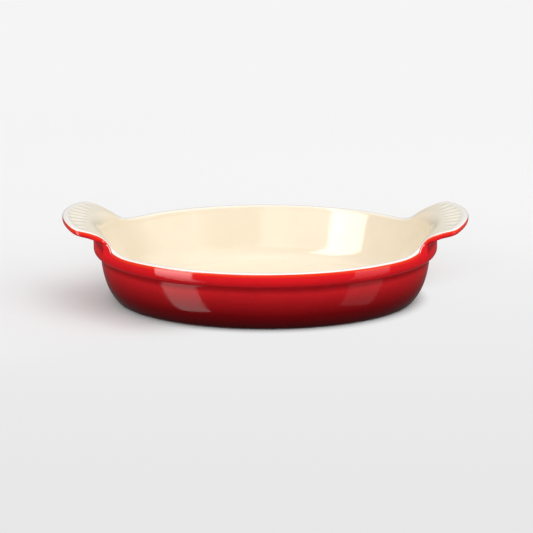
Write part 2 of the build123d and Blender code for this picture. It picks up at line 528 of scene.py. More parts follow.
@dataclass(frozen=True)
class RimOval:
    """Outer edge of the rim in plan."""

    half_length: float = 136.0
    half_width: float = 99.7
    samples: int = 4001
    search_samples: int = 2001
    search_rounds: int = 12

    def point(self, angle: Array) -> Array:
        """Points of the oval."""
        return np.stack([self.half_length * np.cos(angle), self.half_width * np.sin(angle)], -1)

    def normal(self, angle: Array) -> Array:
        """Outward normals in plan."""
        return unit(np.stack([self.half_width * np.cos(angle), self.half_length * np.sin(angle)], -1))

    def angle_at(self, length: Array) -> Array:
        """Angle at a length along the oval from its end on +X, within the first quarter."""
        angles, lengths = self._table()
        return np.interp(length, lengths, angles)

    def length_at(self, angle: float) -> float:
        """Length along the oval up to an angle."""
        return float(np.interp(angle, *self._table()))

    def nearest_angle(self, points: Array) -> Array:
        """Angle of the oval's point that is nearest to each point outside it."""
        table = np.linspace(0, math.pi / 2, self.search_samples)
        gaps = np.linalg.norm(points[:, None] - self.point(table)[None], axis=2)
        angle = table[gaps.argmin(1)]
        for _ in range(self.search_rounds):
            place = self.point(angle)
            first = np.stack([-self.half_length * np.sin(angle), self.half_width * np.cos(angle)], -1)
            miss = ((place - points) * first).sum(1)
            rate = (first ** 2).sum(1) - ((place - points) * place).sum(1)
            angle = angle - miss / rate
        return angle

    def _table(self) -> tuple[Array, Array]:
        """Angles over the first quarter, and the length along the oval up to each."""
        angles = np.linspace(0, math.pi / 2, self.samples)
        return angles, travelled(self.point(angles))


@dataclass(frozen=True)
class HandleLift:
    """Rise of the top face above the rim, by distance from the middle of the dish."""

    reach: tuple[float, float, float, float] = (103.0, 128.65, 109.84, 160.0)
    lift: tuple[float, float, float, float] = (0.0, 0.0, 13.94, 20.88)
    samples: int = 6001

    def _curve(self) -> tuple[Array, Array]:
        """Distance and rise along the curve."""
        share = np.linspace(0, 1, self.samples)
        return cubic(share, *self.reach), cubic(share, *self.lift)

    def rise(self, x: Array) -> Array:
        """Rise at a distance."""
        reach, lift = self._curve()
        return np.interp(x, reach, lift)

    def slope(self, x: Array) -> Array:
        """Slope at a distance."""
        reach, lift = self._curve()
        return np.interp(x, reach, np.gradient(lift, reach))


@dataclass(frozen=True)
class HandleOutline:
    """Outline of a handle in plan, from the middle of its tip to the neck at +Y."""

    tip: float = 159.98
    tip_radius: float = 76.46
    shoulder: tuple[float, float] = (146.0, 44.1)
    root: tuple[float, float] = (103.0, 35.3)
    shoulder_round: float = 9.0
    neck_round: float = 10.0
    neck_search: Pair = (10.0, 60.0)
    samples: int = 400

    def trace(self, oval: RimOval) -> tuple[Array, Array]:
        """Follows the outline.

        Args:
            oval: The oval that the neck runs into.

        Returns:
            Points and outward normals.
        """
        shoulder, root = np.array(self.shoulder), np.array(self.root)
        along = unit(root - shoulder)
        side = np.array([along[1], -along[0]])
        side *= math.copysign(1.0, side[1])
        tip_centre = np.array([self.tip - self.tip_radius, 0.0])
        # Shoulder: a circle inside the tip's arc and inside the straight side
        base = shoulder - self.shoulder_round * side - tip_centre
        ahead = float(base @ along)
        gap = (self.tip_radius - self.shoulder_round) ** 2 - float(base @ base) + ahead ** 2
        centre = tip_centre + base + (-ahead - math.sqrt(gap)) * along
        shoulder_start = math.atan2(*(centre - tip_centre)[::-1])
        shoulder_end = math.atan2(side[1], side[0])
        # Neck: a circle outside the oval and outside the straight side
        low, high = (math.radians(angle) for angle in self.neck_search)
        for _ in range(HALVINGS):
            middle = (low + high) / 2
            probe = (oval.point(middle) + self.neck_round * oval.normal(middle) - shoulder) @ side
            low, high = (middle, high) if probe < self.neck_round else (low, middle)
        neck_angle = (low + high) / 2
        neck = oval.point(neck_angle) + self.neck_round * oval.normal(neck_angle)
        neck_normal = oval.normal(neck_angle)
        neck_end = math.atan2(neck_normal[1], neck_normal[0])

        def ring(centre: Array, radius: float, start: float, stop: float,
                 facing: float) -> tuple[Array, Array]:
            """Points and normals of an arc; facing is -1 where it is hollow."""
            angles = np.linspace(start, stop, self.samples)
            normals = np.stack([np.cos(angles), np.sin(angles)], -1)
            return centre + facing * radius * normals, normals

        tip_arc = ring(tip_centre, self.tip_radius, 0.0, shoulder_start, 1)
        shoulder_arc = ring(centre, self.shoulder_round, shoulder_start, shoulder_end, 1)
        neck_arc = ring(neck, self.neck_round, shoulder_end, neck_end, -1)
        share = np.linspace(0, 1, self.samples)[:, None]
        straight = (shoulder_arc[0][-1] * (1 - share) + neck_arc[0][0] * share,
                    np.repeat(side[None], self.samples, 0))
        points, normals = zip(tip_arc, shoulder_arc, straight, neck_arc)
        return np.concatenate(points), np.concatenate(normals)


@dataclass(frozen=True)
class RowCounts:
    """Rows of the grid in each stretch, from the middle of the floor to the foot."""

    flat: int = 12
    turn: int = 12
    wall: int = 16
    mouth: int = 10
    top: int = 22
    rounding: int = 4
    face: int = 3
    under_edge: int = 6
    underside: int = 16
    root: int = 6
    collar_side: int = 5
    collar: int = 10
    crease: int = 7
    belly: int = 8
    heel: int = 9
    toe: int = 4


@dataclass(frozen=True)
class Columns:
    """Columns of the first quarter in plan: the rim's oval, and the outline with the handle."""

    rim: Array
    outward: Array
    edge: Array
    facing: Array
    past_neck: Array

    def inset(self, depth: Array | float) -> Array:
        """Points a given depth inside the rim's outer edge."""
        return self.rim - np.broadcast_to(depth, (len(self.rim),))[:, None] * self.outward

    def ring(self, depth: float, height: float) -> Array:
        """Level ring of points a given depth inside the rim's outer edge."""
        return np.column_stack([self.inset(depth), np.full(len(self.rim), height)])

    def from_edge(self, point: Array) -> tuple[Array, Array]:
        """Plan and height of a section's point whose inset counts from the outline."""
        return self.edge - point[:, :1] * self.facing, point[:, 1]

    def overhang(self) -> Array:
        """How far the outline stands out past the rim, negative on the ledge at the neck."""
        return ((self.edge - self.rim) * self.outward).sum(1)


@dataclass
class Rows:
    """Rows of the first quarter, with each row's painted shade and white neck line on the red glaze."""

    columns: int
    places: list[Array] = field(default_factory=list)
    under_shades: list[Array] = field(default_factory=list)
    break_glints: list[Array] = field(default_factory=list)
    flat_rows: int = 0
    line_row: int = 0

    def put(self, plan: Array, height: Array | float, pool: Array | float = 0.0,
            break_glint: Array | float = 0.0) -> None:
        """Adds one row.

        Args:
            plan: x and y of each point.
            height: z of the points.
            pool: How much painted shade the red glaze takes there, 0 to 1.
            break_glint: Share of the white neck line there, 0 to 1, part glaze break, part painted highlight.
        """
        self.places.append(np.column_stack([plan, np.broadcast_to(height, (self.columns,))]))
        for marks, value in ((self.under_shades, pool), (self.break_glints, break_glint)):
            marks.append(np.zeros(self.columns) + value)


@dataclass(frozen=True)
class DishSkin:
    """The dish's whole outer surface as one grid of rows and columns.

    Rows run from the middle of the floor up the inside, over the rim and the
    handles, and down the outside to the foot. Columns run round the rim.
    """

    oval: RimOval = RimOval()
    lift: HandleLift = HandleLift()
    outline: HandleOutline = HandleOutline()
    rim_height: float = 49.8
    rim_thickness: float = 5.5
    outer_round: float = 1.9
    inner_round: float = 2.2
    end_inner_round: float = 16.0
    colour_line: float = 0.4
    handle_thickness: float = 5.5
    under_round: float = 2.1
    under_fillet: float = 4.0
    collar_straight: float = 6.5
    collar_round: float = 6.0
    collar_turn: float = 75.0
    crease_radius: float = 1.6
    wall_draft: float = 3.0
    belly_radius: float = 85.0
    belly_turn: float = 12.8
    heel_radius: float = 44.0
    heel_turn: float = 23.4
    foot_inset: float = 21.0
    foot_width: float = 6.0
    heel_gap: float = 0.8
    mouth_radius: float = 12.0
    inner_draft: float = 19.0
    floor_radius: float = 20.0
    floor_height: float = 6.5
    recess_depth: float = 1.8
    glaze_thickness: float = 0.45
    ledge: float = 1.1
    ledge_fade: float = 5.5
    ledge_drop: float = 0.9
    ledge_edge_round: float = 0.6
    handle_columns: int = 100
    side_columns: int = 40
    neck_crowding: float = 0.25
    side_crowding: float = 0.7
    smoothing_rounds: int = 2
    counts: RowCounts = RowCounts()
    flat_crowding: float = 0.8
    neck_before: float = 14.0
    neck_blend: float = 10.0
    climb_span: float = 13.0
    room_share: float = 0.85
    room_power: int = 6
    under_share: float = 0.18
    fillet_share: float = 0.5
    depth_span: float = 12.0
    depth_power: float = 1.8
    least_face: float = 0.1
    least_step: float = 0.02
    # Painted shade on the handle's edge face, at the root on the ledge, and down the collar under a handle
    face_shade: float = 0.45
    ledge_shade: float = 0.5
    overhang_span: float = 7.0
    # How far the white neck line reaches on the ledge: partly a glaze break, partly a painted highlight
    break_glint_share: float = 0.8
    shade_drop: float = 9.0
    toe_radius: float = 2.0
    flutes_from: float = 57.0
    flutes_blend: float = 3.0

    def columns(self) -> Columns:
        """Columns of the first quarter, from the middle of the handle's tip round to the side."""
        points, normals = self.outline.trace(
            RimOval(self.oval.half_length - self.ledge, self.oval.half_width - self.ledge))
        lengths = travelled(points)
        share = np.linspace(0, 1, self.handle_columns)
        along = lengths[-1] * share * (1 + self.neck_crowding - self.neck_crowding * share)
        edge = np.stack([np.interp(along, lengths, points[:, k]) for k in (0, 1)], -1)
        facing = unit(np.stack([np.interp(along, lengths, normals[:, k]) for k in (0, 1)], -1))
        angles = self.oval.nearest_angle(edge)
        angles[0] = 0.0
        neck_length, quarter = self.oval.length_at(angles[-1]), self.oval.length_at(math.pi / 2)
        share = shares(self.side_columns)
        past = (quarter - neck_length) * share * (1 - self.side_crowding + self.side_crowding * share)
        angles = np.concatenate([angles, self.oval.angle_at(neck_length + past)])
        rim, outward = self.oval.point(angles), self.oval.normal(angles)
        side_rim, side_outward = rim[self.handle_columns:], outward[self.handle_columns:]
        ledge = self.ledge * smoothstep(1 - past / self.ledge_fade)
        return Columns(
            rim, outward, np.concatenate([edge, side_rim - ledge[:, None] * side_outward]),
            np.concatenate([facing, side_outward]), np.concatenate([along - lengths[-1], past]))

    def top(self, plan: Array) -> Array:
        """Height of the rim and handle tops at points in plan."""
        return self.rim_height + self.lift.rise(plan[:, 0])

    def inner_wall(self, height: Array) -> tuple[Array, Array]:
        """Inset and lean of the inner wall above the floor's turn, at given heights."""
        draft = math.radians(self.inner_draft)
        sine = np.clip((self.rim_height - height) / self.mouth_radius, 0.0, math.sin(draft))
        curved = self.rim_thickness + self.mouth_radius * (1 - np.sqrt(1 - sine ** 2))
        mouth_end = self.rim_height - self.mouth_radius * math.sin(draft)
        straight = np.maximum(mouth_end - height, 0.0) * math.tan(draft)
        return curved + straight, np.tan(np.arcsin(sine))

    def quarter(self) -> Rows:
        """Rows of the first quarter, from the middle of the floor to the foot."""
        columns = self.columns()
        rows = Rows(len(columns.rim))
        turn_end = self.add_floor(rows, columns)
        rounding = self.rounding(columns)
        self.add_mouth(rows, columns, rounding, turn_end)
        root_end = self.add_edge(rows, columns, rounding)
        self.add_outer_wall(rows, columns, root_end)
        return rows

    def add_floor(self, rows: Rows, columns: Columns) -> float:
        """Adds the floor and its turn, and returns the height at which the turn ends."""
        draft = math.radians(self.inner_draft)
        turn_end = self.floor_height + self.floor_radius * (1 - math.sin(draft))
        turn_inset = float(self.inner_wall(np.array([turn_end]))[0][0])
        flat_inset = turn_inset + self.floor_radius * math.cos(draft)
        for share in shares(self.counts.flat) ** self.flat_crowding:
            rows.put(columns.inset(flat_inset) * share, self.floor_height)
        rows.flat_rows = len(rows.places)
        for angle in np.radians(90 + (self.inner_draft - 90) * shares(self.counts.turn)):
            depth = turn_inset + self.floor_radius * (math.cos(draft) - math.cos(angle))
            rows.put(columns.inset(depth), turn_end + self.floor_radius * (math.sin(draft) - math.sin(angle)))
        return turn_end

    def rounding(self, columns: Columns) -> Corner:
        """Outer rounding of the rim and the handle's edge, tighter on the ledge at the neck."""
        edge, facing, past = columns.edge, columns.facing, columns.past_neck
        lean = np.arctan(self.lift.slope(edge[:, 0]) * facing[:, 0])
        turn = math.pi / 2 + lean
        before = smoothstep((past + self.neck_before) / self.neck_blend)
        after = smoothstep((self.ledge_fade - past) / self.ledge_fade)
        radius = self.outer_round + (self.ledge_edge_round - self.outer_round) * before * after
        length = radius * np.tan(turn / 2)
        inset = length * np.cos(lean)
        start = edge - inset[:, None] * facing
        start_slope = self.lift.slope(start[:, 0]) * facing[:, 0]
        height = self.top(start) + start_slope * inset
        return Corner((inset, self.top(start)), (0.0, height), (0.0, height - length), turn)

    def add_mouth(self, rows: Rows, columns: Columns, rounding: Corner, turn_end: float) -> None:
        """Adds the inner wall, the inner rounding and the top face.

        The inner rounding is wider where the top face climbs to a handle.

        Args:
            rows: Where the rows go.
            columns: Columns of the quarter.
            rounding: Outer rounding, where the top face ends.
            turn_end: Height at which the wall starts.
        """
        inner, outer = columns.inset(self.rim_thickness), columns.from_edge(rounding.point(0.0))[0]
        across = outer - inner
        room = np.linalg.norm(across, axis=1)
        across = unit(across)
        climb = smoothstep(self.lift.rise(inner[:, 0]) / self.climb_span)
        radius = self.inner_round + (self.end_inner_round - self.inner_round) * climb
        tilt = np.arctan(self.lift.slope(inner[:, 0]) * across[:, 0])
        length = radius * np.tan((math.pi / 2 - tilt) / 2)
        limit = self.room_share * room / np.cos(tilt)
        length = (length ** -self.room_power + limit ** -self.room_power) ** (-1 / self.room_power)
        end_reach = length * np.cos(tilt)
        end_plan = inner + end_reach[:, None] * across
        end_height = self.top(end_plan)
        end_slope = self.lift.slope(end_plan[:, 0]) * across[:, 0]
        wall_end = end_height - end_slope * end_reach - length
        wall_inset, wall_lean = self.inner_wall(wall_end)
        wall_reach = self.rim_thickness - wall_inset
        fall = end_height - wall_end + end_slope * (wall_reach - end_reach)
        to_corner = fall / (1 - end_slope * wall_lean)
        corner = (wall_reach + to_corner * wall_lean, wall_end + to_corner)
        turn = math.pi / 2 - np.arctan(end_slope) - np.arctan(wall_lean)
        mouth = Corner((wall_reach, wall_end), corner, (end_reach, end_height), turn)
        for share in shares(self.counts.wall):
            height = turn_end + (wall_end - turn_end) * share
            rows.put(columns.inset(self.inner_wall(height)[0]), height)
        for share in shares(self.counts.mouth):
            point = mouth.point(share)
            reach = point[:, :1]
            plan = inner + np.maximum(reach, 0) * across + np.minimum(reach, 0) * columns.outward
            rows.put(plan, point[:, 1])
        for share in shares(self.counts.top):
            plan = end_plan + (outer - end_plan) * share
            rows.put(plan, self.top(plan))

    def add_edge(self, rows: Rows, columns: Columns, rounding: Corner) -> Array:
        """Adds the outer rounding, then the edge, underside and root of the handle.

        At the neck the edge runs onto the rim, so there the same path steps out over a
        narrow ledge.

        Args:
            rows: Where the rows go.
            columns: Columns of the quarter.
            rounding: Outer rounding.

        Returns:
            Height at which the root ends on the collar.
        """
        rim, outward, edge, facing = columns.rim, columns.outward, columns.edge, columns.facing
        line = rounding.share_at(np.minimum(self.colour_line, rounding.start[0] / 2))
        steps = shares(self.counts.rounding)
        for share in [line * step for step in steps] + [line + (1 - line) * step for step in steps]:
            rows.put(*columns.from_edge(rounding.point(share)))
        rows.line_row = len(rows.places) - 1 - len(steps)

        width, start = columns.overhang(), rounding.end[1]
        under = np.sign(width) * np.minimum(self.under_share * abs(width), self.under_round)
        fillet = np.sign(width) * np.minimum(self.fillet_share * abs(width), self.under_fillet)
        deeper = np.clip(-columns.past_neck / self.depth_span, 0, 1) ** self.depth_power
        depth = self.ledge_drop + (self.handle_thickness - self.ledge_drop) * deeper
        depth = np.maximum(depth, self.top(edge) - start + abs(under) + self.least_face)
        under_plan = edge - under[:, None] * facing
        under_height = self.top(under_plan) - depth
        under_corner = under_height + self.lift.slope(under_plan[:, 0]) * facing[:, 0] * under
        face_end = np.minimum(under_corner + abs(under), start - self.least_step)
        root_plan = rim + fillet[:, None] * outward
        root_height, root_corner = self.top(root_plan) - depth, self.top(rim) - depth
        root_end = root_corner - abs(fillet)
        lower_edge = Corner((0.0, face_end), (0.0, under_corner), (under, under_height))
        root = Corner((fillet, root_height), (0.0, root_corner), (0.0, root_end))
        path: list[tuple[Array, Array, Array | float]] = []
        for share in shares(self.counts.face):
            path.append((edge, start + (face_end - start) * share, self.face_shade * share))
        for share in shares(self.counts.under_edge):
            pool = self.face_shade + (1 - self.face_shade) * share
            path.append((*columns.from_edge(lower_edge.point(share)), pool))
        for share in shares(self.counts.underside):
            plan = under_plan + (root_plan - under_plan) * share
            path.append((plan, self.top(plan) - depth, 1.0))
        for share in shares(self.counts.root):
            point, pool = root.point(share), 1.0 - self.ledge_shade * share * (width < 0)
            path.append((rim + point[:, :1] * outward, point[:, 1], pool))
        stepped = smoothstep(abs(width))
        # Painted shade where the handle overhangs the collar
        overhang_shade = smoothstep(width / self.overhang_span)
        # White line on the ledge at the neck: partly a glaze break, partly a painted highlight
        break_glint_amount = smoothstep(-width / (self.break_glint_share * self.ledge))
        plain_end = self.top(rim) - self.handle_thickness
        for step, (plan, height, pool) in enumerate(path, 1):
            plain = start + (plain_end - start) * step / len(path)
            height = stepped * height + (1 - stepped) * plain
            rows.put(plan, height, overhang_shade * pool, break_glint_amount * smoothstep(2 * pool - 1))
        return stepped * root_end + (1 - stepped) * plain_end

    def add_outer_wall(self, rows: Rows, columns: Columns, root_end: Array) -> None:
        """Adds the collar, the crease, the wall and the heel, down to the foot.

        Args:
            rows: Where the rows go.
            columns: Columns of the quarter.
            root_end: Height at which the collar starts under the handle.
        """
        # Painted shade on the collar under a handle, fading downwards
        overhang_shade = smoothstep(columns.overhang() / self.overhang_span)
        collar_end = self.rim_height - self.collar_straight
        for share in shares(self.counts.collar_side):
            height = root_end + (collar_end - root_end) * share
            rows.put(columns.rim, height, overhang_shade * (1 - smoothstep((root_end - height) / self.shade_drop)))
        belly_end = self.wall_draft + self.belly_turn
        heel_end = belly_end + self.heel_turn
        section = [(0.0, collar_end)]
        for radius, first, last, count in (
                (self.collar_round, 0, self.collar_turn, self.counts.collar),
                (-self.crease_radius, self.collar_turn, self.wall_draft, self.counts.crease),
                (self.belly_radius, self.wall_draft, belly_end, self.counts.belly),
                (self.heel_radius, belly_end, heel_end, self.counts.heel),
                (self.toe_radius, heel_end, 90, self.counts.toe)):
            section += arc_rows(section[-1], radius, first, last, count)
        section += [(section[-1][0] * (1 - s) + self.foot_inset * s, self.heel_gap) for s in (0.5, 1.0)]
        for depth, height in section[1:]:
            rows.put(columns.inset(depth), max(height, self.heel_gap))

    @staticmethod
    def around(row: Array, mirror: bool = True) -> Array:
        """Mirrors a quarter's row all the way round the dish."""
        turned = row * np.array([-1.0, 1.0, 1.0]) if mirror else row
        half = np.concatenate([row, turned[::-1][1:]])
        other = half * np.array([1.0, -1.0, 1.0]) if mirror else half
        return np.concatenate([half, other[::-1][1:-1]])

    def rings(self, section: list[Pair], inner: tuple[float, ...]) -> Array:
        """Level rings all the way round the dish.

        Args:
            section: Inset and height of each ring.
            inner: Shares to which the last ring is shrunk for more rings inside it.

        Returns:
            The rings as rows of points.
        """
        columns = self.columns()
        rings = [columns.ring(depth, height) for depth, height in section]
        rings += [rings[-1] * np.array([share, share, 1.0]) for share in inner]
        return np.array([self.around(ring) for ring in rings])

    def build(self) -> "SkinGrid":
        """Builds the whole grid with its marks."""
        rows, plan = self.quarter(), self.columns().edge
        flat_rows, line_row = rows.flat_rows, rows.line_row
        outside = np.array([self.around(row) for row in rows.places])
        # Painted shade under the handles and the white neck line, mirrored round the dish
        pool, break_glint = (np.array([self.around(row[:, None], False)[:, 0] for row in marks])
                      for marks in (rows.under_shades, rows.break_glints))
        lengths = travelled(outside)
        line = np.abs(lengths - lengths[line_row])
        along = np.gradient(outside, axis=0)
        round_about = np.roll(outside, -1, 1) - np.roll(outside, 1, 1)
        normals = unit(np.cross(along, round_about))
        for _ in range(self.smoothing_rounds):
            normals = unit(normals * 2 + np.roll(normals, 1, 1) + np.roll(normals, -1, 1))
        inside = outside - self.glaze_thickness * normals
        inside[-1, :, :2] = outside[-1, :, :2]
        inside[-1, :, 2] = self.heel_gap + self.glaze_thickness
        border = self.around(np.column_stack([plan, np.zeros(len(plan))]))[:, :2]
        edge = self.edge_distance(outside, border, line_row)
        reach = np.zeros(outside.shape[:2])
        upper = slice(flat_rows, line_row + 1)
        reach[upper] = smoothstep((outside[upper, :, 2] - self.flutes_from) / self.flutes_blend)
        return SkinGrid(self, outside, inside, line, pool, break_glint, edge, reach, line_row)

    @staticmethod
    def edge_distance(points: Array, border: Array, last: int) -> Array:
        """Distance in plan from each point of the upper rows to the outline."""
        found = np.zeros(points.shape[:2])
        ends = np.roll(border, -1, 0) - border
        size = np.maximum((ends ** 2).sum(1), 1e-12)
        for row in range(last + 1):
            gap = points[row, :, None, :2] - border[None]
            share = np.clip((gap * ends).sum(2) / size, 0, 1)
            found[row] = np.linalg.norm(gap - share[..., None] * ends, axis=2).min(1)
        return found


@dataclass
class SkinGrid:
    """The dish's surface and the clay under it, ready to be cut into pieces."""

    skin: DishSkin
    outside: Array
    inside: Array
    line: Array
    pool: Array
    break_glint: Array
    edge: Array
    reach: Array
    line_row: int


@dataclass
class MeshDraft:
    """Vertices, faces and marks of one piece, in millimetres."""

    points: list[Array]
    faces: list[Array]
    marks: dict[Mark, list[Array]]
    sharp: list[Array]

    @classmethod
    def empty(cls, *marks: Mark) -> "MeshDraft":
        """Starts a draft with the given marks."""
        return cls([], [], {mark: [] for mark in marks}, [])

    def add(self, points: Array, **marks: Array | float) -> int:
        """Adds points.

        Args:
            points: x, y, z of each point.
            marks: Value of each mark, by the mark's name.

        Returns:
            Number of the first one.
        """
        first = sum(len(part) for part in self.points)
        flat = points.reshape(-1, 3)
        self.points.append(flat)
        for mark, parts in self.marks.items():
            value = np.asarray(marks.get(mark.name, 0.0), float)
            parts.append(np.broadcast_to(value.reshape(-1) if value.ndim else value, (len(flat),)))
        return first

    def join(self, above: int, below: int, columns: int, flip: bool = False) -> None:
        """Adds the faces from one ring to another, each given by its first point."""
        here = np.arange(columns)
        ahead = (here + 1) % columns
        quads = np.stack([above + here, below + here, below + ahead, above + ahead], -1)
        self.faces.append(quads[:, ::-1] if flip else quads)

    def sheet(self, first: int, rows: int, columns: int, flip: bool = False) -> None:
        """Adds the faces between rows that run all the way round."""
        for above in range(first, first + (rows - 1) * columns, columns):
            self.join(above, above + columns, columns, flip)

    def shell(self, outer: Array, inner: Array, **marks: Array) -> tuple[int, int]:
        """Adds two surfaces that face away from each other, and returns their first points."""
        above, below = self.add(outer, **marks), self.add(inner, **marks)
        self.sheet(above, *outer.shape[:2])
        self.sheet(below, *outer.shape[:2], flip=True)
        return above, below

    def keep_sharp(self, columns: int, *rings: int) -> None:
        """Keeps the edges of rings sharp."""
        here = np.arange(columns)
        self.sharp += [np.stack([ring + here, ring + (here + 1) % columns], -1) for ring in rings]

    def bridge(self, above: int, below: int, columns: int) -> None:
        """Joins two rings and keeps both sharp."""
        self.join(above, below, columns)
        self.keep_sharp(columns, above, below)

    def cap(self, height: float, ring: int, columns: int, flip: bool = False, **marks: float) -> None:
        """Closes a ring with triangles to a new point in the middle."""
        centre = self.add(np.array([[0, 0, height]]), **marks)
        here = np.arange(columns)
        fan = np.stack([np.full(columns, centre), ring + here, ring + (here + 1) % columns], -1)
        self.faces.append(fan[:, ::-1] if flip else fan)

    def make(self, name: str) -> bpy.types.Object:
        """Makes the mesh and its object, in metres and shaded smooth.

        Args:
            name: Name of both.

        Returns:
            The object.
        """
        points = np.concatenate(self.points) * MM
        mesh = bpy.data.meshes.new(name)
        mesh.vertices.add(len(points))
        mesh.vertices.foreach_set("co", points.astype(np.float32).ravel())
        loops = np.concatenate([face.ravel() for face in self.faces])
        sizes = np.concatenate([np.full(len(face), face.shape[1]) for face in self.faces])
        starts = np.concatenate([[0], np.cumsum(sizes)[:-1]])
        mesh.loops.add(len(loops))
        mesh.loops.foreach_set("vertex_index", loops.astype(np.int32))
        mesh.polygons.add(len(sizes))
        mesh.polygons.foreach_set("loop_start", starts.astype(np.int32))
        mesh.polygons.foreach_set("use_smooth", np.ones(len(sizes), bool))
        mesh.update(calc_edges=True)
        for mark, parts in self.marks.items():
            attribute = mesh.attributes.new(mark.value, "FLOAT", "POINT")
            attribute.data.foreach_set("value", np.concatenate(parts).astype(np.float32))
        if self.sharp:
            wanted = np.sort(np.concatenate(self.sharp), axis=1)
            keys = wanted[:, 0] * len(points) + wanted[:, 1]
            pairs = np.zeros(len(mesh.edges) * 2, np.int32)
            mesh.edges.foreach_get("vertices", pairs)
            pairs = np.sort(pairs.reshape(-1, 2).astype(np.int64), axis=1)
            chosen = np.isin(pairs[:, 0] * len(points) + pairs[:, 1], keys)
            sharp = mesh.attributes.get("sharp_edge")
            sharp = sharp or mesh.attributes.new("sharp_edge", "BOOLEAN", "EDGE")
            sharp.data.foreach_set("value", chosen)
        return add_object(name, mesh)


def add_object(name: str, data: Any) -> bpy.types.Object:
    """Makes an object and links it to the scene."""
    made = bpy.data.objects.new(name, data)
    bpy.context.scene.collection.objects.link(made)
    return made


@dataclass(frozen=True)
class FluteFan:
    """Fan of shallow flutes on both handles, made with Geometry Nodes."""

    count: int = 9
    spread: float = 80.0
    centre: float = 100.0
    start: float = 37.0
    fade: float = 10.0
    lip: float = 4.8
    lip_fade: float = 2.4
    depth: float = 0.55
    width_share: float = 0.88
    crispness: float = 1.4

    def tree(self) -> bpy.types.NodeTree:
        """Builds the node tree with its named inputs."""
        tree = bpy.data.node_groups.new("flute_fan", "GeometryNodeTree")
        face = tree.interface
        face.new_socket("Geometry", in_out="INPUT", socket_type="NodeSocketGeometry")
        for name in ("Count", "Pitch", "Centre", "Start", "Fade", "Lip", "Lip Fade", "Depth", "Width Share"):
            face.new_socket(name, in_out="INPUT", socket_type="NodeSocketFloat")
        face.new_socket("Material", in_out="INPUT", socket_type="NodeSocketMaterial")
        face.new_socket("Geometry", in_out="OUTPUT", socket_type="NodeSocketGeometry")
        book = NodeBook(tree)
        entry = book.node("NodeGroupInput")

        def given(name: str) -> Wire:
            """One named input."""
            return Wire(book, entry.outputs[name])

        def mark(mark: Mark) -> Wire:
            """One point attribute."""
            return book.wire("GeometryNodeInputNamedAttribute", {"data_type": "FLOAT"}, {"Name": mark.value})

        apart = book.node("ShaderNodeSeparateXYZ", None, {0: book.wire("GeometryNodeInputPosition")})
        along = abs(Wire(book, apart.outputs[0])) - given("Centre")
        across = Wire(book, apart.outputs[1])
        distance = (along * along + across * across) ** 0.5
        angle = book.math("ARCTAN2", across, along)
        half = (given("Count") - 1.0) * 0.5
        nearest = book.math("ROUND", angle / given("Pitch"))
        nearest = book.math("MINIMUM", book.math("MAXIMUM", nearest, half * -1.0), half)
        offset = distance * (angle - nearest * given("Pitch"))
        trough = offset / (distance * given("Pitch") * given("Width Share") * 0.5)
        hollow = book.math("MAXIMUM", 1.0 - trough * trough, 0.0) ** self.crispness
        inner = self.ease(book, (along - given("Start")) / given("Fade"))
        outer = self.ease(book, (mark(Mark.EDGE) * MM - given("Lip")) / given("Lip Fade"))
        drop = given("Depth") * hollow * inner * outer * mark(Mark.REACH)
        shift = book.wire("ShaderNodeCombineXYZ", None, {2: drop * -1.0})
        moved = book.wire("GeometryNodeSetPosition", None, {"Geometry": given("Geometry"), "Offset": shift})
        real = book.wire("GeometryNodeRealizeInstances", None, {0: moved})
        sockets = {"Geometry": real, "Material": given("Material")}
        book.node("NodeGroupOutput", None, {0: book.wire("GeometryNodeSetMaterial", None, sockets)})
        return tree

    @staticmethod
    def ease(book: NodeBook, share: Wire) -> Wire:
        """Smooth step of a share."""
        held = book.math("MINIMUM", book.math("MAXIMUM", share, 0.0), 1.0)
        return held * held * (3.0 - held * 2.0)

    def press(self, piece: bpy.types.Object, material: bpy.types.Material) -> None:
        """Presses the flutes into a piece and gives it its material.

        Args:
            piece: The piece, with its edge and reach marks.
            material: What the tree sets on the result.
        """
        modifier = piece.modifiers.new("flute_fan", "NODES")
        modifier.node_group = self.tree()
        values = {
            "Count": float(self.count), "Pitch": math.radians(self.spread) / (self.count - 1),
            "Centre": self.centre * MM, "Start": self.start * MM, "Fade": self.fade * MM,
            "Lip": self.lip * MM, "Lip Fade": self.lip_fade * MM, "Depth": self.depth * MM,
            "Width Share": self.width_share, "Material": material}
        for item in modifier.node_group.interface.items_tree:
            if item.in_out == "INPUT" and item.name in values:
                modifier[item.identifier] = values[item.name]
        bpy.context.view_layer.update()
        evaluated = piece.evaluated_get(bpy.context.evaluated_depsgraph_get())
        result = bpy.data.meshes.new_from_object(evaluated)
        piece.modifiers.remove(modifier)
        plain = piece.data
        piece.data = result
        bpy.data.meshes.remove(plain)
        piece.data.name = piece.name


# Pieces


def settle(piece: bpy.types.Object, node: str) -> None:
    """Hands a finished piece to the frame in place of its CAD node."""
    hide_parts(node)
    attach(piece, "root")
    LOG.info("%s: %d faces, stands for %s", piece.name, len(piece.data.polygons), node)


